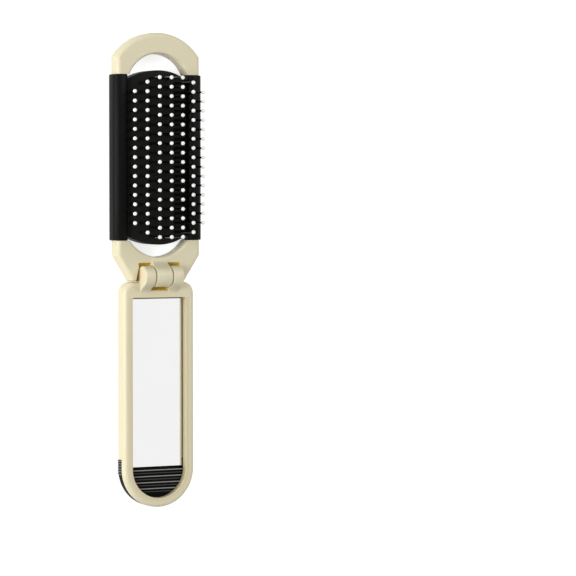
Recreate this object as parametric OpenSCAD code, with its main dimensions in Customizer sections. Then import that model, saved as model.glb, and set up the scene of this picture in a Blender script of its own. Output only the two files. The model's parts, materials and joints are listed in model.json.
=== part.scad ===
// Folding hairbrush with a mirror in the handle, laid open on its back.
// Millimetres. X is the width, Y the length with the brush head at +Y, Z points up out of
// the bristles and the mirror. The origin is the centre of the footprint, on the surface.

/* [Overall] */
// Distance from the hinge axis to the tip of the head arch
head_reach = 97.7; // [92:0.1:104]
// Distance from the hinge axis to the end of the handle
handle_reach = 93; // [88:0.1:100]
// Thickness of the cream mouldings
frame_t = 8; // [7.6:0.1:9]

/* [Head frame] */
// Width of the head frame
head_w = 36.4; // [35.6:0.1:38]
// Radius of the arch at the end of the head
arch_r = 22; // [20:0.1:26]
// Width of the window through the head frame
window_w = 26; // [24:0.1:27]
// Depth of the arch from its tip to the window
arch_depth = 8.4; // [7:0.1:10]
// Radius of the window's end at the arch
window_top_r = 13.8; // [13.4:0.1:16]
// Distance from the hinge axis to the window
yoke_depth = 7.8; // [7.4:0.1:9]
// Radius of the window's end at the yoke
window_foot_r = 15.4; // [13.6:0.1:18]
// Distance from the hinge axis to where the yoke starts to taper
taper_start = 8.3; // [7:0.1:11]
// Outer half width of the yoke at its lugs
lug_outer = 12.3; // [11.8:0.1:14]

/* [Head shells] */
// Width over the two black shells
shell_w = 38.8; // [38.6:0.1:41]
// Thickness over the two black shells
shell_t = 8.4; // [8.2:0.1:9.4]
// Distance from the hinge axis to the lower end of the shells
shell_start = 14.5; // [13.5:0.1:16]
// Length of the arch left bare beyond the shells
shell_end_gap = 16.9; // [15:0.1:19]
// Radius of the outer long edges of the shells
shell_round = 3; // [1.5:0.1:3.4]
// Radius of the inner long edges of the front shell's rails
rail_ease = 1.8; // [1:0.1:2.2]
// Wall of the shells round the frame's side bars
shell_wall = 1.2; // [1:0.05:1.4]
// Width of the pad that fills the window
pad_w = 26.8; // [26:0.1:27.2]
// Plan radius of the two convex ends of the pad
pad_end_r = 25; // [20:0.5:40]
// Distance that the pad ends stand out past the ends of the shells
pad_over = 1.8; // [1:0.1:2.2]
// Thickness of the domed plate that carries the pins
plate_t = 1.6; // [1.2:0.1:1.9]
// Height of the back panel's inner face
back_panel_t = 2.4; // [2:0.1:2.8]
// Number of fine ribs along the back panel
back_ribs = 9; // [5:2:13]
// Depth of the grooves between the back ribs
back_groove = 0.8; // [0.4:0.1:1]

/* [Bristles] */
// Number of columns of pins
pin_cols = 7; // [7]
// Radius of the domed pad about the line that the columns fan out from
fan_r = 38.2; // [36:0.1:41]
// Angle between columns in degrees
col_step = 5.8; // [5.4:0.05:6]
// Distance between pins in a column
pin_pitch = 3.73; // [3.6:0.01:3.78]
// Length of a pin with its ball, above the pad
pin_len = 12.6; // [10.5:0.1:12.8]
// Width of a pin across its corners
pin_w = 1.2; // [0.9:0.05:1.3]
// Diameter of the ball on each pin
ball_d = 1.7; // [1.5:0.05:2]
// Width of the strip that a column of pins stands on
strip_w = 1.5; // [1.3:0.05:1.7]

/* [Hinge] */
// Height of the hinge axis above the front face of the frames
axis_rise = 1.7; // [1.5:0.1:2]
// Diameter of the hinge knuckles
knuckle_d = 8.4; // [7.6:0.1:8.8]
// Diameter of the hinge pin
pin_d = 2; // [1.6:0.1:2.4]
// Width of the knuckle in the middle
knuckle_w = 7; // [6:0.1:7.6]
// Width of each outer knuckle
side_knuckle_w = 4.5; // [4:0.1:4.8]
// Gap between knuckles that pass each other
knuckle_gap = 0.4; // [0.3:0.05:0.6]
// Gap between the outer knuckles and the yoke lugs
lug_gap = 0.7; // [0.4:0.05:1]
// Length of the ramp that runs up each knuckle, measured from the axis
ramp_len = 7; // [6:0.1:7.3]

/* [Handle] */
// Width of the handle
handle_w = 31; // [29.6:0.1:33]
// Radius of the handle's shoulders
shoulder_r = 4.5; // [3:0.1:6]
// Width of the rim round the mirror
rim_w = 3.8; // [3.2:0.1:4.6]
// Depth of the rim above the hinge end of the mirror
brow = 6.3; // [5.8:0.1:7.5]
// Thickness of the mirror
mirror_t = 1.2; // [1:0.05:1.5]
// Thickness of the double-sided tape under the mirror
tape_t = 0.3; // [0.2:0.05:0.4]
// Depth of the mirror below the front face
mirror_sink = 3; // [2.4:0.05:3.2]
// Thickness of the back cover
cover_t = 1.2; // [1:0.05:1.6]
// Width of the ledge round the back cover
cover_ledge = 2.4; // [2:0.1:3]

/* [End grip] */
// Length of the black end grip
grip_len = 19.5; // [17.5:0.1:22]
// Height of the black band round the end
grip_t = 4.6; // [4.2:0.05:5.4]
// Depth of the thumb pad's ribs below the front face
thumb_sink = 2.2; // [1.8:0.05:2.6]
// Straight length of the ribbed thumb pad before its round end
thumb_pad_h = 0.3; // [0:0.1:1]
// Number of ribs on the thumb pad
thumb_ribs = 8; // [5:1:9]
// Number of fine ribs on each side of the band
side_ribs = 6; // [4:1:7]

/* [Fits] */
// Clearance round pieces that are fixed to each other
seat = 0.1; // [0.05:0.01:0.15]
// Radial clearance of the middle knuckle on the hinge pin
run_fit = 0.05; // [0.03:0.01:0.09]
// Gap between the head and the handle when the brush lies open
stop_gap = 0.5; // [0.4:0.05:0.7]
// Clearance round the knuckles inside their pockets
pocket_gap = 1.6; // [1.2:0.1:1.8]

/* [Hidden] */
$fn = 48;
cut = 1; // how far a cutting body runs past the face that it cuts
cream = [0.86, 0.84, 0.74];
black = [0.12, 0.12, 0.11];

hinge_y = (handle_reach - head_reach) / 2; // keeps the origin in the middle of the length
axis_z = frame_t + axis_rise;
knuckle_r = knuckle_d / 2;
pocket_r = knuckle_r + pocket_gap;
head_foot = -1.8; // lower edge of the head, from the hinge axis
handle_top = head_foot - stop_gap; // upper edge of the handle, from the hinge axis
knuckles_out = knuckle_w / 2 + knuckle_gap + side_knuckle_w; // outer faces of the knuckles
lug_inner = knuckles_out + lug_gap;
pin_blind = knuckles_out - 1; // the hinge pin's left end stops short
lug_r = (lug_outer - lug_inner) / 2;

arch_y = head_reach - arch_r;
arch_side_y = arch_y + sqrt(pow(arch_r, 2) - pow(head_w / 2, 2));
window_top = head_reach - arch_depth;

shell_end = head_reach - shell_end_gap;
shell_mid_y = (shell_start + shell_end) / 2;
shell_split_z = shell_t / 2;
rail_in = pad_w / 2;
bar_in = rail_in + shell_wall + seat; // inner face of the frame's necked side bars
bar_out = head_w / 2;
bar_z = [shell_wall + seat, frame_t - shell_wall - seat];
fan_z = frame_t - fan_r; // height of the line that the columns fan out from
inner_r = fan_r - plate_t;
end_wall = 1.2;
groove_pitch = (pad_w - 1.6) / (back_ribs + 1);
groove_w = groove_pitch * 0.6;
rib_step = 0.35; // the low ribs lie this much below the tall ones

mid_col = (pin_cols - 1) / 2;
ball_seat = 0.2; // flat cut into each ball where it sits on its pin
pin_top_r = fan_r + pin_len - ball_d + ball_seat;
strip_rise = 0.3;
flange_w = strip_w + 0.9;
flange_t = 0.8;
strip_end = 0.9; // length of strip past its last pin

handle_end_r = handle_w / 2;
handle_end_y = -handle_reach + handle_end_r;
glass_w = handle_w - 2 * rim_w;
glass_top = handle_top - brow;
glass_z = frame_t - mirror_sink - mirror_t;
floor_z = glass_z - tape_t;
web_t = 0.6;
pad_top = handle_end_y + thumb_pad_h;
grip_top = -handle_reach + grip_len;
cover_w = handle_w - 2 * cover_ledge;
cover_top = handle_top - cover_ledge;
rim_z = grip_t + seat;
cell_rows = 4;
cell_wall = 1.2;
cell_side = cover_ledge + 0.8; // solid wall left outside the cells
cell_top = handle_top - pocket_r - 3;

thumb_pitch = (glass_w / 2 + thumb_pad_h) / thumb_ribs;
thumb_z = frame_t - thumb_sink; // crests of the taller thumb ribs
thumb_groove = 0.9;
thumb_step = 0.35; // every other rib is lower by this
side_rib_pitch = 1.05;
side_rib_depth = 0.35;

// Number of pins in column i, counted from 0: the outer columns are shorter
// where the pad's ends curve away
function pin_count(i) = abs(i - mid_col) > 2.5 ? 15 : abs(i - mid_col) > 1.5 ? 17 : 18;

// Place of pin k in a column of n, along the head from the hinge axis
function pin_y(k, n) = shell_mid_y + (k - (n - 1) / 2) * pin_pitch;

// Half of the pad's length at distance x from its middle
function pad_half(x, inset) =
    (shell_end - shell_start) / 2 + pad_over - inset - pad_end_r
    + sqrt(pow(pad_end_r, 2) - pow(x, 2));

// Puts a piece drawn from the hinge axis in its place along the brush
module from_axis() {
    translate([0, hinge_y, 0]) children();
}

// Both halves of a piece that is the same on the left and the right
module both_sides() {
    children();
    mirror([1, 0, 0]) children();
}

// A cylinder along X about the hinge axis, from x0 to x1
module axle(r, x0, x1) {
    translate([x0, 0, axis_z]) rotate([0, 90, 0]) cylinder(r = r, h = x1 - x0);
}

// A solid of constant width along X from a side profile drawn in Y and Z
// about the hinge axis
module side_profile(points, x0, x1) {
    translate([x0, 0, axis_z])
        rotate([90, 0, 90]) linear_extrude(x1 - x0) polygon(points);
}

// A cross-section in X and Z carried along the head from y0 to y1
module along_head(y0, y1) {
    translate([0, y1, 0]) rotate([90, 0, 0]) linear_extrude(y1 - y0) children();
}

// Plan outline of the head frame without its window
module head_outline() {
    intersection() {
        translate([0, arch_y]) circle(arch_r, $fn = 96);
        translate([-head_w / 2, arch_y]) square([head_w, arch_r + cut]);
    }
    translate([-head_w / 2, taper_start]) square([head_w, arch_side_y - taper_start]);
    polygon([
        [-head_w / 2, taper_start], [-lug_outer, head_foot + lug_r],
        [-lug_outer + lug_r, head_foot], [lug_outer - lug_r, head_foot],
        [lug_outer, head_foot + lug_r], [head_w / 2, taper_start]]);
    both_sides() translate([lug_outer - lug_r, head_foot + lug_r]) circle(lug_r);
}

// Plan outline of the window through the head frame
module window_outline() {
    intersection() {
        translate([-window_w / 2, 0]) square([window_w, head_reach]);
        union() {
            translate([0, window_top - window_top_r]) circle(window_top_r, $fn = 96);
            translate([0, yoke_depth + window_foot_r]) circle(window_foot_r, $fn = 96);
            translate([-window_w / 2, yoke_depth + window_foot_r]) square([
                window_w,
                window_top - window_top_r - yoke_depth - window_foot_r]);
        }
    }
}

// Side profile of a knuckle's ramp, which rises from the front face to the barrel
ramp_root = 1.3; // depth that the ramp is rooted below the front face
ramp_side = [
    [0, -axis_rise - ramp_root], [ramp_len, -axis_rise - ramp_root], [ramp_len, -axis_rise],
    [knuckle_r * cos(30), knuckle_r * sin(30)], [0, 0]];

module head_frame() {
    color(cream) from_axis() difference() {
        union() {
            difference() {
                linear_extrude(frame_t) difference() {
                    head_outline();
                    window_outline();
                }
                // the side bars are necked where the shells close round them
                both_sides() translate([0, shell_start - seat, 0]) {
                    neck = shell_end - shell_start + 2 * seat;
                    translate([0, 0, -cut]) cube([bar_in, neck, frame_t + 2 * cut]);
                    translate([0, 0, -cut]) cube([head_w, neck, cut + bar_z[0]]);
                    translate([0, 0, bar_z[1]]) cube([head_w, neck, frame_t]);
                }
                // pockets for the outer knuckles of the handle
                both_sides() axle(pocket_r, knuckle_w / 2, lug_inner);
            }
            axle(knuckle_r, -knuckle_w / 2, knuckle_w / 2);
            side_profile(ramp_side, -knuckle_w / 2, knuckle_w / 2);
        }
        axle(pin_d / 2 + run_fit, -knuckle_w / 2 - cut, knuckle_w / 2 + cut);
    }
}

// Cross-section of the rail that covers a side bar, front half or back half
module rail_section(front) {
    z0 = front ? shell_split_z : 0;
    z1 = front ? shell_t : shell_split_z;
    edge_z = front ? shell_t - shell_round : shell_round;
    ease = front ? rail_ease : 0;
    difference() {
        union() {
            translate([rail_in + ease, z0])
                square([shell_w / 2 - shell_round - rail_in - ease, z1 - z0]);
            translate([rail_in, z0])
                square([shell_w / 2 - shell_round - rail_in, z1 - z0 - ease]);
            translate([rail_in, front ? z0 : edge_z])
                square([shell_w / 2 - rail_in, abs(shell_split_z - edge_z)]);
            intersection() {
                union() {
                    translate([shell_w / 2 - shell_round, edge_z]) circle(shell_round);
                    if (front) translate([rail_in + ease, shell_t - ease]) circle(ease);
                }
                translate([rail_in, z0]) square([shell_w / 2, z1 - z0]);
            }
        }
        translate([bar_in - seat, bar_z[0] - seat])
            square([bar_out - bar_in + 2 * seat, bar_z[1] - bar_z[0] + 2 * seat]);
    }
}

// Plan outline of the pad between the rails, drawn in by inset at its ends
module pad_outline(half_w, inset) {
    intersection() {
        translate([-half_w, 0]) square([2 * half_w, head_reach]);
        translate([0, shell_end + pad_over - inset - pad_end_r]) circle(pad_end_r, $fn = 96);
        translate([-half_w, shell_mid_y]) square([2 * half_w, head_reach]);
    }
    intersection() {
        translate([-half_w, 0]) square([2 * half_w, head_reach]);
        translate([0, shell_start - pad_over + inset + pad_end_r]) circle(pad_end_r, $fn = 96);
        translate([-half_w, 0]) square([2 * half_w, shell_mid_y]);
    }
}

// Cross-section of the dome above the split, as the space between two radii
module dome_section(r0, r1) {
    difference() {
        translate([0, fan_z]) circle(r1, $fn = 128);
        if (r0 > 0) translate([0, fan_z]) circle(r0, $fn = 128);
        translate([-2 * fan_r, fan_z - fan_r])
            square([4 * fan_r, fan_r - fan_z + shell_split_z]);
    }
}

module front_shell() {
    color(black) from_axis() difference() {
        union() {
            both_sides() along_head(shell_start, shell_end) rail_section(true);
            // domed plate and the wall that closes its two ends
            intersection() {
                linear_extrude(shell_t + cut) pad_outline(rail_in + seat, 0);
                along_head(0, head_reach) dome_section(inner_r, fan_r);
            }
            intersection() {
                linear_extrude(shell_t) difference() {
                    pad_outline(rail_in + seat, 0);
                    pad_outline(rail_in, end_wall);
                }
                along_head(0, head_reach) dome_section(0, inner_r + seat);
            }
        }
        for (i = [0:pin_cols - 1]) strip_slot(i);
    }
}

module back_shell() {
    color(black) from_axis() {
        both_sides() along_head(shell_start, shell_end) rail_section(false);
        difference() {
            linear_extrude(shell_split_z) pad_outline(rail_in + seat, 0);
            translate([0, 0, back_panel_t])
                linear_extrude(shell_split_z) pad_outline(rail_in, end_wall);
            // long ribs between grooves, stopped short of the thin end lips;
            // every fourth rib stands to the full height
            intersection() {
                translate([0, 0, -cut]) linear_extrude(cut + back_groove)
                    pad_outline(rail_in, end_wall);
                union() {
                    for (k = [0:back_ribs])
                        translate([(k - back_ribs / 2) * groove_pitch - groove_w / 2, 0, -cut])
                            cube([groove_w, head_reach, cut + back_groove]);
                    for (k = [0:back_ribs - 1])
                        if (k % 4 != 0)
                            translate([(k - back_ribs / 2) * groove_pitch, 0, -cut])
                                cube([groove_pitch, head_reach, cut + rib_step]);
                }
            }
        }
    }
}

// Turns a strip drawn upright at the crown of the pad to the place of column i
module at_column(i) {
    translate([0, 0, fan_z]) rotate([0, (i - mid_col) * col_step, 0]) children();
}

// Length of the strip under column i
function strip_y(i) = pin_y(0, pin_count(i)) - strip_end;
function strip_len(i) = (pin_count(i) - 1) * pin_pitch + 2 * strip_end;

module strip_slot(i) {
    at_column(i) translate([-strip_w / 2 - seat, strip_y(i) - seat, inner_r - cut])
        cube([strip_w + 2 * seat, strip_len(i) + 2 * seat, plate_t + 2 * cut]);
}

// One column of pins on its strip, with a flange behind the plate
module pin_strip(i) {
    n = pin_count(i);
    color(black) from_axis() at_column(i) {
        translate([-strip_w / 2, strip_y(i), inner_r - seat - flange_t])
            cube([strip_w, strip_len(i), plate_t + seat + flange_t + strip_rise]);
        translate([-flange_w / 2, strip_y(i), inner_r - seat - flange_t])
            cube([flange_w, strip_len(i), flange_t]);
        for (k = [0:n - 1])
            translate([0, pin_y(k, n), fan_r]) rotate(45)
                cylinder(d = pin_w, h = pin_top_r - fan_r, $fn = 4);
    }
}

// The balls of one column, each cut flat where it sits on its pin
module ball_tips(i) {
    n = pin_count(i);
    color("white") from_axis() at_column(i)
        for (k = [0:n - 1])
            translate([0, pin_y(k, n), pin_top_r]) difference() {
                translate([0, 0, ball_d / 2 - ball_seat]) sphere(d = ball_d, $fn = 24);
                translate([-ball_d, -ball_d, -ball_d]) cube([2 * ball_d, 2 * ball_d, ball_d]);
            }
}

module hinge_pin() {
    color("silver") from_axis() axle(pin_d / 2, -pin_blind, knuckles_out);
}

// Plan outline of the handle, drawn in by inset all round
module handle_outline(inset) {
    half_w = handle_w / 2 - inset;
    corner_r = shoulder_r - min(inset, shoulder_r - 0.5);
    translate([0, handle_end_y]) circle(half_w, $fn = 96);
    translate([-half_w, handle_end_y])
        square([2 * half_w, handle_top - inset - corner_r - handle_end_y]);
    translate([-half_w + corner_r, handle_end_y])
        square([2 * (half_w - corner_r), handle_top - inset - handle_end_y]);
    both_sides() translate([half_w - corner_r, handle_top - inset - corner_r]) circle(corner_r);
}

// Plan outline of the opening in the rim, for the mirror and the thumb pad
module rim_opening(gap) {
    half_w = glass_w / 2 - gap;
    translate([0, handle_end_y]) circle(half_w, $fn = 96);
    translate([-half_w, handle_end_y]) square([2 * half_w, glass_top - gap - handle_end_y]);
}

module handle_frame() {
    knuckle_in = knuckle_w / 2 + knuckle_gap;
    ramp = [for (p = ramp_side) [-p[0], p[1]]];
    color(cream) from_axis() difference() {
        union() {
            difference() {
                linear_extrude(frame_t) handle_outline(0);
                // recess that holds the mirror, and the opening for the thumb pad
                translate([0, 0, floor_z]) linear_extrude(frame_t) rim_opening(0);
                // room under the rim for the end grip
                translate([-handle_w, -handle_reach - cut, -cut])
                    cube([2 * handle_w, grip_len + cut, cut + rim_z]);
                translate([0, 0, -cut]) linear_extrude(frame_t) below(pad_top) rim_opening(0);
                // recess for the back cover and the cells above it
                translate([-cover_w / 2, grip_top - cut, -cut])
                    cube([cover_w, cover_top - grip_top + cut, cut + cover_t + seat]);
                handle_cells();
                axle(pocket_r, -knuckle_in, knuckle_in);
            }
            both_sides() {
                axle(knuckle_r, knuckle_in, knuckle_in + side_knuckle_w);
                side_profile(ramp, knuckle_in, knuckle_in + side_knuckle_w);
            }
        }
        axle(pin_d / 2, -pin_blind, knuckles_out + cut);
    }
}

// Hollow cells under the mirror, with ribs between them
module handle_cells() {
    cell_w = handle_w / 2 - cell_side - cell_wall / 2;
    cell_h = (cell_top - grip_top - cell_wall) / cell_rows - cell_wall;
    both_sides() for (k = [0:cell_rows - 1])
        translate([cell_wall / 2, grip_top + cell_wall + k * (cell_h + cell_wall), cover_t])
            cube([cell_w, cell_h, floor_z - web_t - cover_t]);
}

module handle_back() {
    color(cream) from_axis()
        translate([-cover_w / 2 + seat, grip_top + seat, 0])
            cube([cover_w - 2 * seat, cover_top - grip_top - 2 * seat, cover_t]);
}

// Plan of the mirror, from the top of the opening down to the thumb pad
module glass_plan(gap) {
    translate([-glass_w / 2 + gap, pad_top + gap])
        square([glass_w - 2 * gap, glass_top - pad_top - 2 * gap]);
}

module mirror_glass() {
    color([0.88, 0.9, 0.9]) from_axis()
        translate([0, 0, glass_z]) linear_extrude(mirror_t) glass_plan(seat);
}

module mirror_tape() {
    color("gray") from_axis()
        translate([0, 0, floor_z]) linear_extrude(tape_t) glass_plan(1.5);
}

// Black cap round the end of the handle, with the ribbed thumb pad in its middle
module end_grip() {
    color(black) from_axis() difference() {
        union() {
            linear_extrude(grip_t) below(grip_top - seat) handle_outline(0);
            linear_extrude(thumb_z - thumb_groove) below(pad_top - seat) rim_opening(seat);
            // ribs across the thumb pad, tall and low by turns
            for (k = [0:thumb_ribs - 1])
                linear_extrude(thumb_z - (k % 2) * thumb_step) intersection() {
                    rim_opening(seat);
                    translate([-glass_w, pad_top - seat - (k + 0.55) * thumb_pitch])
                        square([2 * glass_w, thumb_pitch * 0.55]);
                }
        }
        // fine ribs on the outer sides
        both_sides() for (k = [0:side_ribs - 1])
            translate([
                handle_w / 2 - side_rib_depth, grip_top - (k + 1) * side_rib_pitch, -cut])
                cube([handle_w, side_rib_pitch * 0.5, grip_t + 2 * cut]);
        // ledge that carries the lower end of the mirror
        translate([-glass_w / 2, pad_top, floor_z]) cube([glass_w, handle_w, frame_t]);
    }
}

// Keeps what lies below y in a plan outline of the handle
module below(y) {
    intersection() {
        children();
        translate([-handle_w, -handle_reach - cut])
            square([2 * handle_w, handle_reach + cut + y]);
    }
}

head_frame();
front_shell();
back_shell();
for (i = [1:pin_cols]) {
    pin_strip(i - 1);
    ball_tips(i - 1);
}
hinge_pin();
handle_frame();
handle_back();
mirror_glass();  // mirror
mirror_tape();
end_grip();
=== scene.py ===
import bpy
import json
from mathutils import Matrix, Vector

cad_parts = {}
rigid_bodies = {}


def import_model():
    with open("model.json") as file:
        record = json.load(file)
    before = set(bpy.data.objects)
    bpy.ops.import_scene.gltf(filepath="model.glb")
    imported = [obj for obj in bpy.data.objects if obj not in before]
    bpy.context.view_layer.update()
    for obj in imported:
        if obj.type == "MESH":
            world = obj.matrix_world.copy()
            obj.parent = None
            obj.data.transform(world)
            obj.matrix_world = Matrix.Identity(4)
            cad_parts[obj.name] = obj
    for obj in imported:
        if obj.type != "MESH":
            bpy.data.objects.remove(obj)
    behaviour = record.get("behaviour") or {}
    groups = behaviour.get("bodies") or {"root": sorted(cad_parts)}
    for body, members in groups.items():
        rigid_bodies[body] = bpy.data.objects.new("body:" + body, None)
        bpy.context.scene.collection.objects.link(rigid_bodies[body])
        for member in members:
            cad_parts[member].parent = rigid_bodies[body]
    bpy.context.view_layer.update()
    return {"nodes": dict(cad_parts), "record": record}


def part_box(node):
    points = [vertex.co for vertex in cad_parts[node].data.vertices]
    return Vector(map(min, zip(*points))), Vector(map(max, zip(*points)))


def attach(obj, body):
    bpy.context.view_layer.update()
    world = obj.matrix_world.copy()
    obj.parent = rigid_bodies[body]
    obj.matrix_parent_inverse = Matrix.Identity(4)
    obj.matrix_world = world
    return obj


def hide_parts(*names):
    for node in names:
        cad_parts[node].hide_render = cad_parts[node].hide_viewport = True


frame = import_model()

import bpy
import bmesh
import json
from math import asin, cos, pi, radians, sin, sqrt
from mathutils import Matrix, Vector

# ---------------------------------------------------------------------------------------
# Cream head frame: one moulding with the arch, the side bars, the yoke and its two lugs,
# and the middle knuckle of the hinge. It is drawn in plan, carried through its thickness
# with rounded edges, and the knuckle is then joined on and the pin bore drilled.

mm = 0.001
hinge = Vector(frame["record"]["behaviour"]["joints"][0]["pos_m"])
head_half, arch_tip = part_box("head_frame")[1].xy
axis_rise = 1.7 * mm             # hinge axis above the front face
face_z = hinge.z - axis_rise     # front face of both cream mouldings

front_round = 1.5 * mm           # front edges of the cream mouldings
back_round = 2.3 * mm            # back edges, which are softer
window_front_round = 0.9 * mm    # edges of the windows through them
window_back_round = 1.6 * mm
arch_r = 22 * mm
window_half = 13 * mm
window_top_r = 13.8 * mm
window_foot_r = 15.4 * mm
window_top = arch_tip - 8.4 * mm
window_foot = hinge.y + 7.8 * mm
taper_y = hinge.y + 8.3 * mm
lug_half = 12.3 * mm             # outer half width of the yoke at its lugs
lug_r = 1.6 * mm
lug_round = 1.4 * mm             # the most that the lugs' own edges are rounded
lug_inner = 9.1 * mm             # inner faces of the lugs
head_foot = hinge.y - 2.05 * mm
knuckle_r = 4.2 * mm
knuckle_half = 3.5 * mm          # half width of the middle knuckle
knuckle_round = 0.35 * mm
ramp_len = 7 * mm
pocket_r = 5.8 * mm
pin_r = 1 * mm
bore_gap = 0.05 * mm
joint_gap = 0.1 * mm             # gap left where two mouldings meet
under, over, beyond = -5 * mm, 20 * mm, 30 * mm    # outside the part, for tools that cut out


def arc(cx, cy, r, start, end, steps):
    """Points of an arc, angles in degrees."""
    turns = [radians(start + (end - start) * k / steps) for k in range(steps + 1)]
    return [(cx + r * cos(t), cy + r * sin(t)) for t in turns]


def inset(loop, distance, most=None):
    """A closed anticlockwise loop moved towards its left by distance, with mitred corners.

    most gives the furthest that a point may move, so that small corners don't fold over."""
    moved = []
    for i, point in enumerate(loop):
        reach = distance
        if most and abs(distance) > most(point):
            reach = most(point) + 0.1 * (distance - most(point))
        here = Vector(point)
        u = (here - Vector(loop[i - 1])).normalized()
        v = (Vector(loop[(i + 1) % len(loop)]) - here).normalized()
        left_u, left_v = Vector((-u.y, u.x)), Vector((-v.y, v.x))
        mitre = (left_u + left_v) / max(1 + left_u.dot(left_v), 0.4)
        moved.append(tuple(here + mitre * reach))
    return moved


def wall_rings(loop, z0, z1, low, high, most, steps=6, support=0.12 * mm):
    """Rings up a wall whose lower and upper edges are rounded by low and high.

    A negative radius rounds the edge of a hole."""
    rings = []
    if low:
        rings.append((inset(loop, low + support * (1 if low > 0 else -1), most), z0))
    for k in range(steps + 1 if low else 1):
        t = pi / 2 * (k / steps if low else 1)
        rings.append((inset(loop, low * (1 - sin(t)), most), z0 + abs(low) * (1 - cos(t))))
    for k in range(steps + 1 if high else 1):
        t = pi / 2 * (k / steps if high else 0)
        rings.append((inset(loop, high * (1 - cos(t)), most), z1 - abs(high) * (1 - sin(t))))
    if high:
        rings.append((inset(loop, high + support * (1 if high > 0 else -1), most), z1))
    return rings


def skin(bm, rings):
    """Faces between closed rings of vertices that match one to one."""
    for near, far in zip(rings, rings[1:]):
        for i in range(len(near)):
            bm.faces.new((near[i - 1], near[i], far[i], far[i - 1]))


def slab(name, outer, holes, z0, z1, low, high, hole_low=0, hole_high=0, lying=False, most=None):
    """A plate between z0 and z1 with rounded edges. lying turns (u, v, w) to (w, u, v)."""
    bm = bmesh.new()
    caps = {z0: [], z1: []}
    walls = [(outer, low, high, most)] + [(hole, -hole_low, -hole_high, None) for hole in holes]
    for loop, lo, hi, limit in walls:
        rings = [
            [bm.verts.new((z, *p) if lying else (*p, z)) for p in points]
            for points, z in wall_rings(loop, z0, z1, lo, hi, limit)]
        skin(bm, rings)
        caps[z0].append(rings[0])
        caps[z1].append(rings[-1])
    for cap in caps.values():
        if len(cap) == 1:
            bm.faces.new(cap[0])
            continue
        edges = [bm.edges.get((ring[i - 1], ring[i])) for ring in cap for i in range(len(ring))]
        bmesh.ops.triangle_fill(bm, use_beauty=True, edges=edges)
    bmesh.ops.recalc_face_normals(bm, faces=bm.faces)
    return new_piece(name, bm)


def new_piece(name, bm):
    mesh = bpy.data.meshes.new(name)
    bm.to_mesh(mesh)
    bm.free()
    piece = bpy.data.objects.new(name, mesh)
    bpy.context.scene.collection.objects.link(piece)
    return piece


def bake(piece):
    """The piece's modifiers made part of its mesh."""
    graph = bpy.context.evaluated_depsgraph_get()
    mesh = bpy.data.meshes.new_from_object(piece.evaluated_get(graph))
    piece.modifiers.clear()
    piece.data = mesh
    return piece


def combine(piece, tool, operation):
    """Adds the tool's solid to the piece, or cuts it away, and deletes the tool."""
    step = piece.modifiers.new("combine", "BOOLEAN")
    step.operation = operation
    step.solver = "EXACT"
    step.object = tool
    bake(piece)
    bpy.data.objects.remove(tool)
    return piece


def box_tool(low, high):
    bm = bmesh.new()
    bmesh.ops.create_cube(bm, size=1)
    for v in bm.verts:
        v.co = [low[i] if v.co[i] < 0 else high[i] for i in range(3)]
    return new_piece("tool", bm)


def axle_tool(r, x0, x1, steps=64):
    """A plain cylinder about the hinge axis."""
    circle = arc(hinge.y, hinge.z, r, 0, 360, steps)[:-1]
    return slab("tool", circle, [], x0, x1, 0, 0, lying=True)


def smooth(piece, angle=32):
    """Merged, shaded smooth, and sharp only where faces meet at more than the angle."""
    bm = bmesh.new()
    bm.from_mesh(piece.data)
    bmesh.ops.remove_doubles(bm, verts=bm.verts, dist=0.001 * mm)
    bmesh.ops.dissolve_degenerate(bm, edges=bm.edges, dist=0.001 * mm)
    bm.to_mesh(piece.data)
    bm.free()
    piece.data.shade_smooth()
    piece.data.set_sharp_from_angle(angle=radians(angle))
    return piece


def bezier(p0, p1, p2, p3, steps):
    """Points of a cubic curve after its first point."""
    points = []
    for k in range(1, steps + 1):
        t = k / steps
        weights = ((1 - t) ** 3, 3 * t * (1 - t) ** 2, 3 * t * t * (1 - t), t ** 3)
        points.append(tuple(
            sum(w * p[i] for w, p in zip(weights, (p0, p1, p2, p3))) for i in (0, 1)))
    return points


def knuckle(x0, x1, side):
    """A hinge knuckle whose ramp runs down to the front face, towards +Y or -Y by side."""
    joins, ends = 30, 318            # degrees round the barrel, from its ramp to its foot
    foot_pull, crown_pull = 1.6 * mm, 2.3 * mm    # how far the ramp leaves its ends straight
    sunk = 1.3 * mm                  # how far the knuckle's foot goes into the moulding
    turn = radians(joins)
    foot = (ramp_len, -axis_rise)
    crown = (knuckle_r * cos(turn), knuckle_r * sin(turn))
    lead = (crown[0] + crown_pull * sin(turn), crown[1] - crown_pull * cos(turn))
    ramp = bezier(foot, (ramp_len - foot_pull, -axis_rise), lead, crown, 10)
    barrel = arc(0, 0, knuckle_r, joins, ends, 36)[1:]
    loop = [foot] + ramp + barrel + [(ramp_len, -axis_rise - sunk)]
    loop = [(hinge.y + side * y, hinge.z + z) for y, z in loop]
    if side < 0:
        loop.reverse()
    return slab("tool", loop, [], x0, x1, knuckle_round, knuckle_round, lying=True)


def turn_at(half, r):
    """Degrees round an arc of radius r at which it is half away from its middle line."""
    return 90 - asin(half / r) * 180 / pi


arch_y = arch_tip - arch_r
corner = turn_at(head_half, arch_r)
head_plan = arc(0, arch_y, arch_r, corner, 180 - corner, 40)
head_plan += [(-head_half, taper_y)]
head_plan += arc(-lug_half + lug_r, head_foot + lug_r, lug_r, 196, 270, 6)
head_plan += arc(lug_half - lug_r, head_foot + lug_r, lug_r, 270, 344, 6)
head_plan += [(head_half, taper_y)]

top_cy, foot_cy = window_top - window_top_r, window_foot + window_foot_r
top_turn = turn_at(window_half, window_top_r)
foot_turn = turn_at(window_half, window_foot_r)
window_plan = arc(0, top_cy, window_top_r, top_turn, 180 - top_turn, 36)
window_plan += arc(0, foot_cy, window_foot_r, 180 + foot_turn, 360 - foot_turn, 36)

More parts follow.
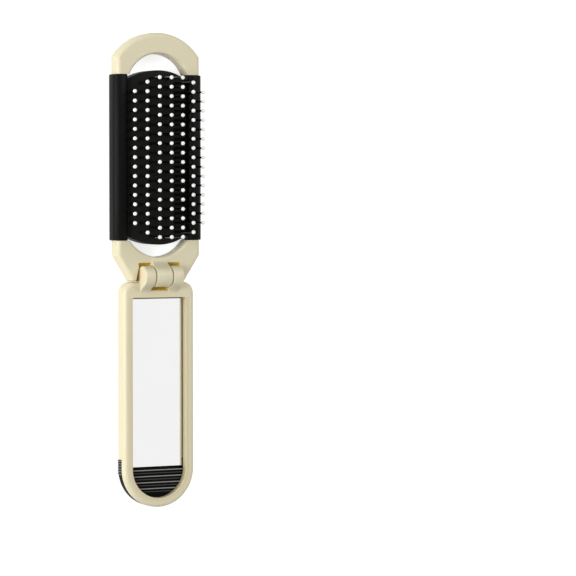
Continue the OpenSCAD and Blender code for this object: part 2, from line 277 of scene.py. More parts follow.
head = slab(
    "head_frame_body", head_plan, [window_plan], 0, face_z,
    back_round, front_round, window_back_round, window_front_round,
    most=lambda p: lug_round if p[1] < hinge.y + 1 * mm else beyond)

# the side bars are thinner where the black shells close over them
shell_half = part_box("back_shell")[1].x
shell_from = hinge.y + 14.5 * mm
shell_to = arch_tip - 16.9 * mm
bar_neck = 1.3 * mm
bar_in = 14.7 * mm
for low, high in (
        ((-bar_in, under), (bar_in, over)),
        ((-beyond, under), (beyond, bar_neck)),
        ((-beyond, face_z - bar_neck), (beyond, over))):
    neck = box_tool(
        (low[0], shell_from - joint_gap, low[1]), (high[0], shell_to + joint_gap, high[1]))
    combine(head, neck, "DIFFERENCE")

# the lugs narrow towards their tips, which widens the slit beside each knuckle
slit_foot, slit_turn, slit_top = head_foot - 1 * mm, head_foot + 0.3 * mm, hinge.y + 3.2 * mm
slit_z = 4 * mm
for side in (-1, 1):
    ends = sorted((side * knuckle_half, side * lug_inner))
    combine(head, axle_tool(pocket_r, *ends), "DIFFERENCE")
    slit = [
        (side * (lug_inner - 0.5 * mm), slit_top),
        (side * (lug_inner - 0.5 * mm), slit_foot),
        (side * (lug_inner + 1.3 * mm), slit_foot),
        (side * (lug_inner + 1.1 * mm), slit_turn),
        (side * (lug_inner + 0.1 * mm), slit_top)]
    combine(head, slab("tool", slit[::side], [], slit_z, over, 0, 0), "DIFFERENCE")
combine(head, knuckle(-knuckle_half, knuckle_half, 1), "UNION")
bore = axle_tool(pin_r + bore_gap, -2 * knuckle_half, 2 * knuckle_half, 32)
combine(head, bore, "DIFFERENCE")
smooth(head)


class Nodes:
    """A node tree in which one call makes a node, sets it and links it."""

    def __init__(self, tree):
        self.tree = tree

    def set(self, node, values):
        """A node's inputs, each linked to a socket or set to a plain value."""
        for socket, value in values.items():
            if isinstance(value, bpy.types.NodeSocket):
                self.tree.links.new(value, node.inputs[socket])
            else:
                node.inputs[socket].default_value = value
        return node

    def node(self, kind, values=None, **settings):
        made = self.tree.nodes.new(kind)
        for setting, value in settings.items():
            setattr(made, setting, value)
        return self.set(made, values or {})

    def calc(self, operation, *values):
        """One step of arithmetic."""
        return self.node(
            "ShaderNodeMath", dict(enumerate(values)), operation=operation).outputs[0]

    def ramp(self, value, start, end, low=0, high=1):
        """low at start and high at end, and even between them."""
        return self.node("ShaderNodeMapRange", {
            "Value": value, "From Min": start, "From Max": end,
            "To Min": low, "To Max": high}).outputs[0]

    def place(self):
        return self.node("ShaderNodeTexCoord").outputs["Object"]

    def noise(self, scale, detail=2):
        return self.node("ShaderNodeTexNoise", {
            "Vector": self.place(), "Scale": scale, "Detail": detail}).outputs["Fac"]

    def mix(self, share, first, second):
        """The second colour laid over the first by a share."""
        return self.node("ShaderNodeMix", {
            "Factor": share, "A": first, "B": second}, data_type="RGBA").outputs["Result"]

    def shade(self, values):
        self.set(self.tree.nodes["Principled BSDF"], values)

    def sockets(self, way, **kinds):
        """The named inputs or outputs of a shader node group."""
        for label, kind in kinds.items():
            self.tree.interface.new_socket(
                label.replace("_", " "), in_out=way, socket_type="NodeSocket" + kind)


def new_material(name):
    """A material, and its nodes."""
    material = bpy.data.materials.new(name)
    material.use_nodes = True
    return material, Nodes(material.node_tree)


def surface_group():
    """Slow drift of colour and gloss, and fine moulding grain, shared by every plastic."""
    t = Nodes(bpy.data.node_groups.new("moulded_surface", "ShaderNodeTree"))
    t.sockets(
        "INPUT", Base="Color", Drift="Float", Roughness="Float", Roughness_Drift="Float",
        Grain_Size="Float", Grain_Depth="Float")
    t.sockets("OUTPUT", Color="Color", Roughness="Float", Normal="Vector")
    given = t.node("NodeGroupInput").outputs
    drift_scale, grain_scale = 60, 1000      # waves per metre, and grain sizes given in mm
    broad = t.calc("SUBTRACT", t.noise(drift_scale, 3), 0.5)
    strength = t.calc("MULTIPLY_ADD", broad, given["Drift"], 1)
    tint = t.node(
        "ShaderNodeVectorMath", {0: given["Base"], "Scale": strength}, operation="SCALE")
    rough = t.calc("MULTIPLY_ADD", broad, given["Roughness Drift"], given["Roughness"])
    grain = t.noise(t.calc("DIVIDE", grain_scale, given["Grain Size"]))
    bump = t.node("ShaderNodeBump", {
        "Strength": given["Grain Depth"], "Distance": 0.1 * mm, "Height": grain})
    t.node("NodeGroupOutput", {
        "Color": tint.outputs[0], "Roughness": rough, "Normal": bump.outputs["Normal"]})
    return t.tree


moulded_surface = surface_group()


def plastic(name, base, roughness, drift=0.04, grain=0.25, depth=0.08, **sockets):
    """A moulded plastic; sockets are set on its Principled BSDF."""
    material, t = new_material(name)
    surface = t.node("ShaderNodeGroup", {
        "Base": (*base, 1), "Drift": drift, "Roughness": roughness,
        "Roughness Drift": roughness * 0.25, "Grain Size": grain,
        "Grain Depth": depth}, node_tree=moulded_surface).outputs
    t.shade({
        "Base Color": surface["Color"], "Roughness": surface["Roughness"],
        "Normal": surface["Normal"], **sockets})
    return material


def painted_light_and_shade(material, opening_half, opening_top, end_y):
    """Painted glow, shade and light: amber in the hinge's pockets, gold round the mirror and pale
    cream in the windows.

    The amber is a painted glow for light passing through the cream plastic in narrow places. The
    gold and the dark line round the mirror are painted shade. The pale cream is painted light on
    walls that lie in shade."""
    t = Nodes(material.node_tree)
    x, y, z = t.node("ShaderNodeSeparateXYZ", {0: t.place()}).outputs

    def fade(value, around, start, end):
        """0 at start and 1 at end, both in millimetres past around."""
        return t.ramp(value, around + start * mm, around + end * mm)

    def all_of(*masks):
        result = masks[0]
        for mask in masks[1:]:
            result = t.calc("MULTIPLY", result, mask)
        return result

    def length(u, v):
        return t.calc("SQRT", t.calc(
            "ADD", t.calc("MULTIPLY", u, u), t.calc("MULTIPLY", v, v)))

    def window_end(centre_y, r, shell_y, inwards):
        """One round end of the window, outside the black shells."""
        return all_of(
            fade(length(x, t.calc("SUBTRACT", y, centre_y)), r, 0.3, 0.1),
            fade(y, shell_y, inwards, 0))

    side = t.calc("ABSOLUTE", x)
    along = t.calc("SUBTRACT", y, hinge.y)
    reach = length(along, t.calc("SUBTRACT", z, hinge.z))
    deep = all_of(fade(z, face_z, -0.1, -0.6), fade(reach, pocket_r, 1.0, 0.4))
    by_lug = fade(side, lug_inner, 1.6, 1.3)
    upper = all_of(fade(along, 0, 3.4, 3.9), by_lug)
    lower = all_of(fade(along, 0, -3.4, -3.9), fade(side, knuckle_half, 0.7, 0.5))
    pocket = all_of(deep, t.calc("MAXIMUM", upper, lower), fade(reach, knuckle_r, 0.05, 0.3))
    left_end = all_of(
        deep, by_lug, fade(x, -lug_inner, 0.75, 0.65), fade(along, 0, -2.6, -2.2))

    across = length(x, t.calc("MAXIMUM", t.calc("SUBTRACT", end_y, y), 0))
    in_tray = all_of(fade(y, opening_top, 0.3, 0.1), fade(z, 0, 2.4, 2.6))
    brim = all_of(fade(across, opening_half, 2.2, 0), in_tray)
    wall = all_of(
        fade(across, opening_half, 0.5, 0.2), fade(z, face_z, -0.02, -0.2), in_tray)
    foot = all_of(wall, fade(z, face_z, -2.7, -3.0))
    window = all_of(fade(z, face_z, -0.3, -1.1), t.calc(
        "MAXIMUM", window_end(top_cy, window_top_r, shell_to, -1),
        window_end(foot_cy, window_foot_r, shell_from, 1)))

    colour = t.tree.nodes["Group"].outputs["Color"]
    # Painted shade: brim darkens the rim near the opening, wall darkens the recess wall, and foot
    # is a painted shadow line at its base. Painted glow: pocket and left_end turn amber. Painted
    # light: window lightens the windows' walls.
    for mask, share, tone in (
            (brim, 0.7, (0.55, 0.465, 0.275)), (wall, 0.95, (0.40, 0.35, 0.21)),
            (foot, 0.9, (0.10, 0.085, 0.045)), (pocket, 0.97, (1.0, 0.72, 0.08)),
            (left_end, 0.9, (0.84, 0.58, 0.13)), (window, 0.85, (0.92, 0.86, 0.64))):
        colour = t.mix(t.calc("MULTIPLY", mask, share), colour, (*tone, 1))
    t.shade({"Base Color": colour})


cream_plastic = plastic(
    "cream_plastic", (0.65, 0.595, 0.415), 0.52, drift=0.03, depth=0.04,
    **{"Subsurface Weight": 0.2, "Subsurface Scale": 1.5 * mm,
       "Subsurface Radius": (1.0, 0.6, 0.25), "Coat Weight": 0.1, "Coat Roughness": 0.3})
rim_w = 3.8 * mm                 # the handle's rim and brow round its mirror
brow = 6.3 * mm
handle_lo, handle_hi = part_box("handle_frame")
handle_half = handle_hi.x
handle_top = hinge.y - 2.3 * mm
end_cy = handle_lo.y + handle_half
# painted glow, painted shade and painted light laid on the cream
painted_light_and_shade(cream_plastic, handle_half - rim_w, handle_top - brow, end_cy)
head.data.materials.append(cream_plastic)
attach(head, "head")
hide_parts("head_frame")

# ---------------------------------------------------------------------------------------
# Black front shell: two rails that close over the side bars from the front, and between
# them a domed pad with convex ends, moulded in one piece in satin black plastic.

rail_in = 13.4 * mm
shell_top = 8.4 * mm
split_z = shell_top / 2
rail_round = 3 * mm
rail_ease = 1.8 * mm             # inner front edges of the rails
rail_lip = 0.4 * mm              # and their inner back edges
fan_r = 38.2 * mm
fan_z = face_z - fan_r           # height of the line that the columns of pins fan out from
pad_end_r = 25 * mm
pad_over = 1.8 * mm              # the pad's ends stand out past the ends of the rails
pad_mid = (shell_from + shell_to) / 2


def pad_half(x, drawn_in=0.0):
    """Half of the pad's length at x."""
    straight = (shell_to - shell_from) / 2 + pad_over - drawn_in - pad_end_r
    return straight + sqrt(pad_end_r ** 2 - x * x)


def dome(x, r=fan_r):
    """Height of the pad's domed surface at x."""
    return fan_z + sqrt(r * r - x * x)


def lofted(name, rings):
    """A closed solid through rings of points, with flat ends."""
    bm = bmesh.new()
    rings = [[bm.verts.new(point) for point in ring] for ring in rings]
    skin(bm, rings)
    bm.faces.new(rings[0])
    bm.faces.new(rings[-1])
    bmesh.ops.recalc_face_normals(bm, faces=bm.faces)
    return new_piece(name, bm)


def rail(name, front, side, ease=0.35 * mm, steps=3):
    """Half of a rail's cross-section carried along the head, with eased ends."""
    z0, z1 = (split_z, shell_top) if front else (0, split_z)
    edge = z1 - rail_round if front else rail_round
    if front:
        section = arc(shell_half - rail_round, edge, rail_round, 0, 90, 10)
        section += arc(rail_in + rail_ease, z1 - rail_ease, rail_ease, 90, 180, 8)
        section += [(rail_in, z0), (shell_half, z0)]
    else:
        section = [(shell_half, z1), (rail_in, z1)]
        section += arc(rail_in + rail_lip, rail_lip, rail_lip, 180, 270, 4)
        section += arc(shell_half - rail_round, edge, rail_round, 270, 360, 10)
    if side < 0:
        section = [(-x, z) for x, z in reversed(section)]
    stations = [(shell_from, ease + 0.1 * mm)]
    for k in range(steps + 1):
        t = pi / 2 * k / steps
        stations.append((shell_from + ease * (1 - cos(t)), ease * (1 - sin(t))))
    stations += [(shell_from + shell_to - y, d) for y, d in reversed(stations)]
    return lofted(name, [[(x, y, z) for x, z in inset(section, d)] for y, d in stations])


def pad_block(name, top, bottom, half=rail_in + 0.05 * mm, columns=44, ease=0.4 * mm, steps=4):
    """A block with the pad's plan, between two surfaces given as functions of x."""
    rows = []
    for j in range(columns + 1):
        x = half * (2 * j / columns - 1)
        end, top_z, low_z = pad_half(x), top(x), bottom(x)
        row = [(-end, low_z), (-end, top_z - ease)]
        for k in range(1, steps + 1):
            t = pi / 2 * k / steps
            row.append((-end + ease * (1 - cos(t)), top_z - ease * (1 - sin(t))))
        row.append((-end + 2 * ease, top_z))
        row += [(-y, z) for y, z in reversed(row)]
        rows.append([(x, pad_mid + y, z) for y, z in row])
    return lofted(name, rows)


front = rail("front_shell_body", True, 1)
combine(front, rail("tool", True, -1), "UNION")
pad = pad_block("front_shell_pad", dome, lambda x: split_z)
black_plastic = plastic(
    "black_plastic", (0.002, 0.002, 0.0018), 0.44, drift=0.2, grain=0.2, depth=0.05,
    **{"Specular IOR Level": 0.075})
# The pad shares the rails' moulding, but its black is lighter: painted sheen standing in for the
# soft highlight that light puts on the dome.
pad_plastic_painted_sheen = plastic(
    "pad_plastic_painted_sheen", (0.0075, 0.0077, 0.0062), 0.5, drift=0.5, grain=0.35, depth=0.4,
    **{"Specular IOR Level": 0.07})
for part, finish in ((front, black_plastic), (pad, pad_plastic_painted_sheen)):
    smooth(part)
    part.data.materials.append(finish)
    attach(part, "head")
    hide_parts("front_shell")

# ---------------------------------------------------------------------------------------
# Black back shell: the back halves of the rails and a panel between them with long ribs,
# three of them taller than the rest, that stop short of a thin lip at each convex end.
# The ribs are laid by Geometry Nodes, each as long as the pad is there.

groove_floor = 0.8 * mm
rib_count = 9
rib_pitch = 2.52 * mm
rib_r = 0.55 * mm
low_rib = 0.35 * mm              # the low ribs lie this much below the tall ones
rib_into_lip = 0.3 * mm          # the ribs' ends run this far into the lip
lip_w = 1.2 * mm
panel_half = 12.6 * mm


class Tree(Nodes):
    """A Geometry Nodes tree with named inputs, from which plain mesh pieces are grown."""

    def __init__(self, name):
        super().__init__(bpy.data.node_groups.new(name, "GeometryNodeTree"))
        self.tree.interface.new_socket(
            "Geometry", in_out="OUTPUT", socket_type="NodeSocketGeometry")
        self.into = self.node("NodeGroupInput")
        self.ids = {}

    def input(self, label, kind):
        socket = self.tree.interface.new_socket(
            label, in_out="INPUT", socket_type="NodeSocket" + kind)
        self.ids[label] = socket.identifier
        return self.into.outputs[label]

    def floats(self, *labels):
        return [self.input(label, "Float") for label in labels]

    def index(self):
        return self.node("GeometryNodeInputIndex").outputs[0]

    def xyz(self, **parts):
        return self.node("ShaderNodeCombineXYZ", parts).outputs[0]

    def line(self, start, end):
        return self.node(
            "GeometryNodeCurvePrimitiveLine", {"Start": start, "End": end}).outputs[0]

    def swept(self, curve, radius, sides, **more):
        """Round bars along a curve, with closed ends."""
        ring = self.node(
            "GeometryNodeCurvePrimitiveCircle", {"Resolution": sides, "Radius": radius})
        return self.node("GeometryNodeCurveToMesh", {
            "Curve": curve, "Profile Curve": ring.outputs[0], "Fill Caps": True,
            **more}).outputs[0]

    def points(self, count, place):
        return self.node("GeometryNodePoints", {"Count": count, "Position": place}).outputs[0]

    def laid(self, points, piece, **more):
        """The piece laid on every point."""
        return self.node("GeometryNodeInstanceOnPoints", {
            "Points": points, "Instance": piece, **more}).outputs[0]

    def close(self, geometry):
        """Realize Instances and Set Material end the tree."""
        real = self.node("GeometryNodeRealizeInstances", {"Geometry": geometry})
        material = self.input("Material", "Material")
        painted = self.node(
            "GeometryNodeSetMaterial", {"Geometry": real.outputs[0], "Material": material})
        self.node("NodeGroupOutput", {"Geometry": painted.outputs[0]})
        return self

    def grow(self, name, **values):
        """A plain mesh piece grown by the tree with these input values."""
        piece = new_piece(name, bmesh.new())
        step = piece.modifiers.new("grow", "NODES")
        step.node_group = self.tree
        for label, value in values.items():
            step[self.ids[label.replace("_", " ")]] = value
        return bake(piece)


def rib_rows(t, points, line, stretch, radius):
    """Ribs on points, each stretched to its own length before it is given its girth."""
    rows = t.laid(points, line, Scale=stretch)
    real = t.node("GeometryNodeRealizeInstances", {"Geometry": rows})
    return t.close(t.swept(real.outputs[0], radius, 20))


def panel_rib_tree():
    """Ribs side by side along Y, every fourth one tall, each ending at the lip."""
    t = Tree("panel_ribs")
    count = t.input("Count", "Int")
    pitch, radius, low, end_r, straight, middle, height = t.floats(
        "Pitch", "Rib Radius", "Low By", "End Radius", "Straight Half", "Middle", "Height")
    index = t.index()
    centre = t.calc("MULTIPLY", t.calc("SUBTRACT", count, 1), 0.5)
    x = t.calc("MULTIPLY", t.calc("SUBTRACT", index, centre), pitch)
    is_low = t.calc("MINIMUM", t.calc("MODULO", index, 4), 1)
    z = t.calc("MULTIPLY_ADD", is_low, low, height)
    bulge = t.calc("SUBTRACT", t.calc("MULTIPLY", end_r, end_r), t.calc("MULTIPLY", x, x))
    half = t.calc("ADD", t.calc("SQRT", bulge), straight)
    return rib_rows(
        t, t.points(count, t.xyz(X=x, Y=middle, Z=z)), t.line((0, -1, 0), (0, 1, 0)),
        t.xyz(X=1, Y=half, Z=1), radius)


back = rail("back_shell_body", False, 1)
combine(back, rail("tool", False, -1), "UNION")
combine(back, pad_block("tool", lambda x: split_z, lambda x: 0.0, ease=0), "UNION")
floor_loop = [
    (x, pad_mid + s * pad_half(x, lip_w))
    for s, xs in ((1, range(20, -21, -1)), (-1, range(-20, 21)))
    for x in (panel_half * k / 20 for k in xs)]
recess = slab("tool", floor_loop, [], -2 * mm, groove_floor, 0, 0)
combine(back, recess, "DIFFERENCE")
ribs = panel_rib_tree().grow(
    "back_shell_ribs", Count=rib_count, Pitch=rib_pitch, Rib_Radius=rib_r, Low_By=low_rib,
    End_Radius=pad_end_r, Middle=pad_mid, Height=rib_r, Material=black_plastic,
    Straight_Half=(shell_to - shell_from) / 2 + pad_over - lip_w - pad_end_r + rib_into_lip)
for part in (smooth(back), smooth(ribs, 50)):
    if not part.data.materials:
        part.data.materials.append(black_plastic)
    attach(part, "head")
    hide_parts("back_shell")

# ---------------------------------------------------------------------------------------
# Pins: seven strips of black nylon pushed through the pad from behind, each with a column
# of slim tapered pins, and a white ball moulded on the tip of every pin. The columns fan
# out from a line below the pad. One Geometry Nodes tree makes a column, another its balls.

col_step = radians(5.8)
pin_pitch = 3.73 * mm
pin_len = 12.6 * mm
ball_r = 0.8 * mm
pin_root_r = 0.5 * mm
pin_tip_r = 0.4 * mm
pin_flare = 0.2 * mm             # how much wider a pin's root is where it leaves its strip
strip_w = 1.5 * mm
strip_h = 2.6 * mm
strip_rise = 0.03 * mm           # the strips lie almost level with the pad
strip_past = 0.9 * mm            # and reach this far past the first and last pin
pin_counts = (15, 17, 18, 18, 18, 17, 15)


def column_points(t):
    """Inputs and points that a column's pins and its balls share."""
    count = t.input("Count", "Int")
    pitch = t.input("Pitch", "Float")
    half = t.calc("MULTIPLY", t.calc("SUBTRACT", count, 1), 0.5)
    first = t.calc("MULTIPLY", t.calc("MULTIPLY", half, pitch), -1)
    return t.node("GeometryNodeMeshLine", {
        "Count": count, "Start Location": t.xyz(Y=first), "Offset": t.xyz(Y=pitch)}).outputs[0]


def tilted(t, geometry):
    """The column turned about the fan line and put in its place."""
    tilt = t.input("Tilt", "Float")
    foot = t.input("Fan Line", "Vector")
    return t.node("GeometryNodeTransform", {
        "Geometry": geometry, "Translation": foot, "Rotation": t.xyz(Y=tilt)}).outputs[0]


def pin_tree():
    """A column of pins that taper to their tips and flare at their roots."""
    t = Tree("pin_column")
    points = column_points(t)
    base, length, root, tip, flare = t.floats(
        "Base Height", "Length", "Root Radius", "Tip Radius", "Flare")
    line = t.line(t.xyz(Z=base), t.xyz(Z=t.calc("ADD", base, length)))
    rings = t.node("GeometryNodeResampleCurve", {"Curve": line, "Count": 7})
    along = t.node("GeometryNodeSplineParameter").outputs["Factor"]
    at_root = t.calc("POWER", t.calc("SUBTRACT", 1, along), 7)
    width = t.calc("MULTIPLY_ADD", at_root, flare, t.ramp(along, 0, 1, root, tip))
    pin = t.swept(rings.outputs[0], 1.0, 10, Scale=width)
    return t.close(tilted(t, t.laid(points, pin)))


def strip_bar(name, half_length, tilt):
    """The strip that a column stands on: a bar with round ends and eased top edges."""
    half = strip_w / 2
    plan = arc(0, half - half_length, half, 180, 360, 10)
    plan += arc(0, half_length - half, half, 0, 180, 10)
    bar = slab(name, plan, [], fan_r - strip_h, fan_r + strip_rise, 0, 0.1 * mm)
    bar.data.transform(Matrix.Translation((0, pad_mid, fan_z)) @ Matrix.Rotation(tilt, 4, "Y"))
    return bar


def ball_tree():
    """A column of small balls, one on the tip of each pin."""
    t = Tree("ball_column")
    points = column_points(t)
    radius, height = t.floats("Radius", "Height")
    sphere = t.node("GeometryNodeMeshUVSphere", {"Segments": 14, "Rings": 9, "Radius": radius})
    lifted = t.node("GeometryNodeTransform", {
        "Geometry": sphere.outputs[0], "Translation": t.xyz(Z=height)})
    return t.close(tilted(t, t.laid(points, lifted.outputs[0])))


pin_nylon = plastic(
    "pin_nylon", (0.003, 0.003, 0.0028), 0.14, drift=0.1, grain=0.4, depth=0.02,
    **{"Specular IOR Level": 0.4, "Coat Weight": 0.2, "Coat Roughness": 0.08})
ball_white = plastic(
    "ball_white", (0.86, 0.86, 0.83), 0.25, drift=0.02, grain=0.5, depth=0.01)
pin_column, ball_column = pin_tree(), ball_tree()
fan_line = (0, pad_mid, fan_z)
for i, count in enumerate(pin_counts):
    tilt = (i - 3) * col_step
    pins = pin_column.grow(
        f"pins_{i + 1}", Count=count, Pitch=pin_pitch, Base_Height=fan_r,
        Length=pin_len - ball_r, Root_Radius=pin_root_r, Tip_Radius=pin_tip_r,
        Flare=pin_flare, Tilt=tilt, Fan_Line=fan_line, Material=pin_nylon)
    balls = ball_column.grow(
        f"balls_{i + 1}", Count=count, Pitch=pin_pitch, Radius=ball_r,
        Height=fan_r + pin_len - ball_r, Tilt=tilt, Fan_Line=fan_line, Material=ball_white)
    strip = strip_bar(f"strip_{i + 1}", (count - 1) * pin_pitch / 2 + strip_past, tilt)
    strip.data.materials.append(pad_plastic_painted_sheen)
    for piece, node, slot in (
            (pins, "pin_strip_", "black_pins"), (strip, "pin_strip_", "black_pins"),
            (balls, "ball_tips_", "white_tips")):
        smooth(piece, 60)
        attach(piece, "head")
        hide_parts(f"{node}{i + 1}")

# ---------------------------------------------------------------------------------------
# Cream handle frame: a tray with a raised rim round the mirror, rounded shoulders and a
# half-round end, and the two outer knuckles of the hinge. Its end is cut back underneath
# for the black grip.

handle_end = handle_lo.y
shoulder_r = 4.5 * mm
glass_corner = 0.8 * mm
opening_round = 0.3 * mm
band_t = 5.1 * mm                # height of the grip's band
grip_top = handle_end + 19.5 * mm
side_in, side_out = 3.9 * mm, 8.4 * mm    # the two faces of each outer knuckle
pocket_gap = 0.15 * mm           # how much wider its pocket is than the one in the yoke
mirror_lo, mirror_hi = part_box("mirror")
tape_t = 0.3 * mm
floor_z = mirror_lo.z - tape_t
tray_t = 1.3 * mm                # height at which the tray's floor starts


def handle_plan(half, top, corner_r, steps=40):
    """The handle's outline, or the outline of the opening in its rim."""
    loop = arc(0, end_cy, half, 180, 360, steps)
    loop += arc(half - corner_r, top - corner_r, corner_r, 0, 90, 8)
    loop += arc(-half + corner_r, top - corner_r, corner_r, 90, 180, 8)
    return loop


rim_plan = handle_plan(handle_half, handle_top, shoulder_r)
opening_plan = handle_plan(handle_half - rim_w, handle_top - brow, glass_corner)
handle = slab(
    "handle_frame_body", rim_plan, [opening_plan], 0, face_z,
    back_round, front_round, 0, opening_round)
tray_floor = box_tool(
    (-handle_half + 2 * mm, grip_top, tray_t),
    (handle_half - 2 * mm, handle_top - 3 * mm, floor_z))
combine(handle, tray_floor, "UNION")
cap_room = box_tool(
    (-beyond, handle_end + under, under), (beyond, grip_top, band_t + joint_gap))
combine(handle, cap_room, "DIFFERENCE")
cover_lo, cover_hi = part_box("handle_back")
cover_room = box_tool(
    (cover_lo.x - joint_gap, grip_top - 1 * mm, -1 * mm),
    (cover_hi.x + joint_gap, cover_hi.y + joint_gap, cover_hi.z + joint_gap))
combine(handle, cover_room, "DIFFERENCE")
combine(handle, axle_tool(pocket_r + pocket_gap, -side_in, side_in), "DIFFERENCE")
for side in (-1, 1):
    ends = sorted((side * side_in, side * side_out))
    combine(handle, knuckle(*ends, -1), "UNION")
combine(handle, axle_tool(pin_r, -side_out + 1 * mm, side_out + 1 * mm, 32), "DIFFERENCE")
smooth(handle)
handle.data.materials.append(cream_plastic)
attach(handle, "handle")
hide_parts("handle_frame")

# ---------------------------------------------------------------------------------------
# Cream back cover: a flat plate that closes the handle's back, with eased edges so that
# its joint line shows as a fine groove.

cover_plan = [
    (cover_lo.x, cover_lo.y), (cover_hi.x, cover_lo.y),
    (cover_hi.x, cover_hi.y), (cover_lo.x, cover_hi.y)]
cover_round = 0.25 * mm
cover = smooth(slab("handle_back_cover", cover_plan, [], 0, cover_hi.z, cover_round, 0))
cover.data.materials.append(cream_plastic)
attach(cover, "handle")
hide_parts("handle_back")

# ---------------------------------------------------------------------------------------
# Mirror: silvered glass with a fine ground edge, laid on double-sided tape in the tray.
# The tape keeps its own solid, which the glass hides.

glass_half = mirror_hi.x - 0.05 * mm
mirror_plan = [
    (-glass_half, mirror_lo.y), (glass_half, mirror_lo.y),
    (glass_half, mirror_hi.y), (-glass_half, mirror_hi.y)]
bevel_w, bevel_h = 0.4 * mm, 0.25 * mm
glass = lofted("mirror_glass", [[(*p, z) for p in loop] for loop, z in (
    (mirror_plan, mirror_lo.z), (mirror_plan, mirror_hi.z - bevel_h),
    (inset(mirror_plan, bevel_w), mirror_hi.z))])
silvered_glass, t = new_material("silvered_glass")
haze = t.noise(90, 4)
t.shade({
    "Metallic": 1, "Roughness": t.ramp(haze, 0, 1, 0.015, 0.05),
    "Base Color": t.mix(haze, (0.87, 0.875, 0.87, 1), (0.9, 0.9, 0.895, 1))})
glass.data.materials.append(silvered_glass)
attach(glass, "handle")
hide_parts("mirror")

tape_foam = plastic("tape_foam", (0.55, 0.55, 0.53), 0.8, grain=0.3, depth=0.3)
tape = frame["nodes"]["mirror_tape"]
tape.data.materials.clear()
tape.data.materials.append(tape_foam)

# ---------------------------------------------------------------------------------------
# Black end grip: a cap that closes the round end of the handle behind the rim, with fine
# ribs at the start of its band and a ribbed thumb pad that fills the tray below the
# mirror. Geometry Nodes lay the thumb ribs, tall and low by turns, across the half round.

thumb_r = handle_half - rim_w - 0.05 * mm
thumb_top = end_cy + 0.3 * mm
thumb_count = 8
thumb_pitch = 1.24 * mm
thumb_first = 0.75               # distance of the first thumb rib from the top, in pitches
thumb_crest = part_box("end_grip")[1].z
thumb_rib_r = 0.34 * mm
thumb_low = 0.45 * mm            # the low thumb ribs lie this much below the tall ones
thumb_end_gap = 0.1 * mm
base_sunk = 0.85 * mm            # and the pad between them this much below the crests
band_half = handle_half - 0.1 * mm
band_top = grip_top - joint_gap
band_round = 2.1 * mm
edge_round = 0.15 * mm
side_rib_count = 6
side_rib_r = 0.3 * mm
side_rib_pitch = 1.05 * mm


def side_rib_tree():
    """Short upright bars side by side along the band."""
    t = Tree("side_ribs")
    count = t.input("Count", "Int")
    pitch, radius, side, first, low, high = t.floats(
        "Pitch", "Rib Radius", "Side", "First", "Low", "High")
    y = t.calc("SUBTRACT", first, t.calc("MULTIPLY", t.index(), pitch))
    bar = t.swept(t.line(t.xyz(Z=low), t.xyz(Z=high)), radius, 16)
    return t.close(t.laid(t.points(count, t.xyz(X=side, Y=y)), bar))


def thumb_rib_tree():
    """Bars across a half round, each as long as its chord, tall and low by turns."""
    t = Tree("thumb_ribs")
    count = t.input("Count", "Int")
    pitch, first, radius, round_r, top, centre, crest, low, gap = t.floats(
        "Pitch", "First", "Rib Radius", "Round Radius", "Top", "Centre", "Crest", "Low By",
        "End Gap")
    index = t.index()
    y = t.calc("SUBTRACT", top, t.calc("MULTIPLY", t.calc("ADD", index, first), pitch))
    drop = t.calc("MULTIPLY", t.calc("MODULO", index, 2), low)
    z = t.calc("SUBTRACT", t.calc("SUBTRACT", crest, radius), drop)
    down = t.calc("SUBTRACT", y, centre)
    square = t.calc(
        "SUBTRACT", t.calc("MULTIPLY", round_r, round_r), t.calc("MULTIPLY", down, down))
    half = t.calc("SUBTRACT", t.calc("SQRT", t.calc("MAXIMUM", square, 0)), gap)
    return rib_rows(
        t, t.points(count, t.xyz(Y=y, Z=z)), t.line((-1, 0, 0), (1, 0, 0)),
        t.xyz(X=half, Y=1, Z=1), radius)


grip_plan = arc(0, end_cy, band_half, 180, 360, 48) + [
    (band_half, band_top), (-band_half, band_top)]
grip = slab("end_grip_body", grip_plan, [], 0, band_t, band_round, edge_round)
ledge = box_tool((-handle_half + rim_w, thumb_top, floor_z), (handle_half - rim_w, 0, over))
combine(grip, ledge, "DIFFERENCE")
thumb_plan = arc(0, end_cy, thumb_r, 180, 360, 48) + [
    (thumb_r, thumb_top - 0.1 * mm), (-thumb_r, thumb_top - 0.1 * mm)]
thumb_base = slab(
    "tool", thumb_plan, [], band_t - 1 * mm, thumb_crest - base_sunk, 0, 0.1 * mm)
combine(grip, thumb_base, "UNION")


def crest_group():
    """A painted highlight colour laid over another between two distances, shared by the ribs'
    crests.
    """
    t = Nodes(bpy.data.node_groups.new("painted_crest_highlight", "ShaderNodeTree"))
    t.sockets("INPUT", Base="Color", Rubbed="Color", Distance="Float", Start="Float", End="Float")
    t.sockets("OUTPUT", Color="Color")
    given = t.node("NodeGroupInput").outputs
    share = t.ramp(given["Distance"], given["Start"], given["End"])
    t.node("NodeGroupOutput", {"Color": t.mix(share, given["Base"], given["Rubbed"])})
    return t.tree


painted_crest_highlight = crest_group()


def crest_highlights(material, axis, bands):
    """Painted highlights on rib crests. bands gives distances along the axis and how pale each
    is.
    """
    t = Nodes(material.node_tree)
    split = t.node("ShaderNodeSeparateXYZ", {0: t.place()})
    out = t.calc("ABSOLUTE", split.outputs[axis])
    colour = t.tree.nodes["Group"].outputs["Color"]
    for start, end, pale in bands:
        colour = t.node("ShaderNodeGroup", {
            "Base": colour, "Rubbed": (pale, pale, pale * 0.98, 1), "Distance": out,
            "Start": start, "End": end}, node_tree=painted_crest_highlight).outputs["Color"]
    t.shade({"Base Color": colour})
    return material


def grip_rubber(name):
    return plastic(
        name, (0.0018, 0.0018, 0.0016), 0.5, drift=0.2, depth=0.06,
        **{"Specular IOR Level": 0.05})
